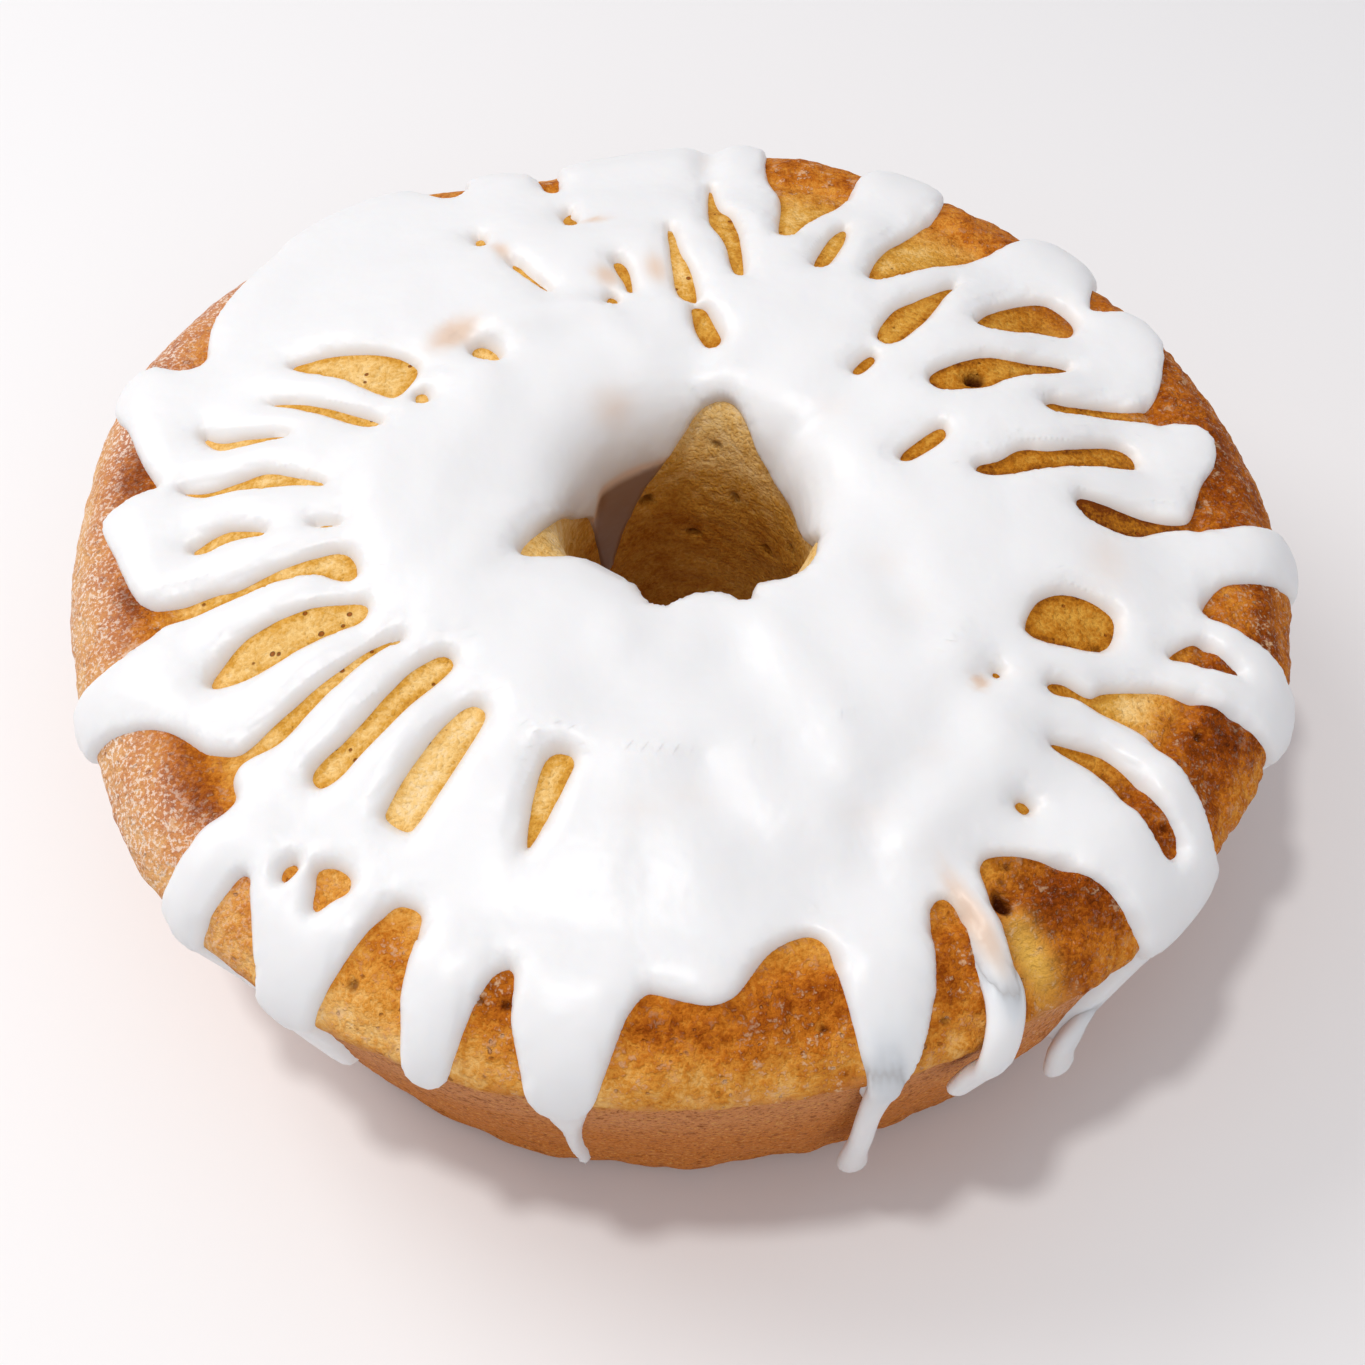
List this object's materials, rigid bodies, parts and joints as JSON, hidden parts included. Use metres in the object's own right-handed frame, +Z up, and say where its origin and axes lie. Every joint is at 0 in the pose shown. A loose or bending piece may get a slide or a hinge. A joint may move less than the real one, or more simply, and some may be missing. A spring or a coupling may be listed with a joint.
{
  "type": "ring cake",
  "caption": "Round ring cake baked in a tube pan, with a central hole and poured white icing that runs down its side; stands crown up on its flat foot.",
  "frame": {"origin": "middle of the bounding box, on the surface the cake stands on", "axes": "+Z up out of the hole, +X to the cake's right and -Y towards its front, as seen by someone who faces the long icing drips"},
  "size_m": [0.269, 0.2728, 0.0936],
  "materials": {
    "crust": "matte baked crust, golden on the crown, orange-brown on the bulged rim and darker brown on the side that the pan held",
    "icing": "soft white poured sugar icing, glossy, warm and slightly see-through where it is thin"
  },
  "bodies": {
    "root": {"cake": "crust", "icing": "icing"}
  },
  "joints": []
}
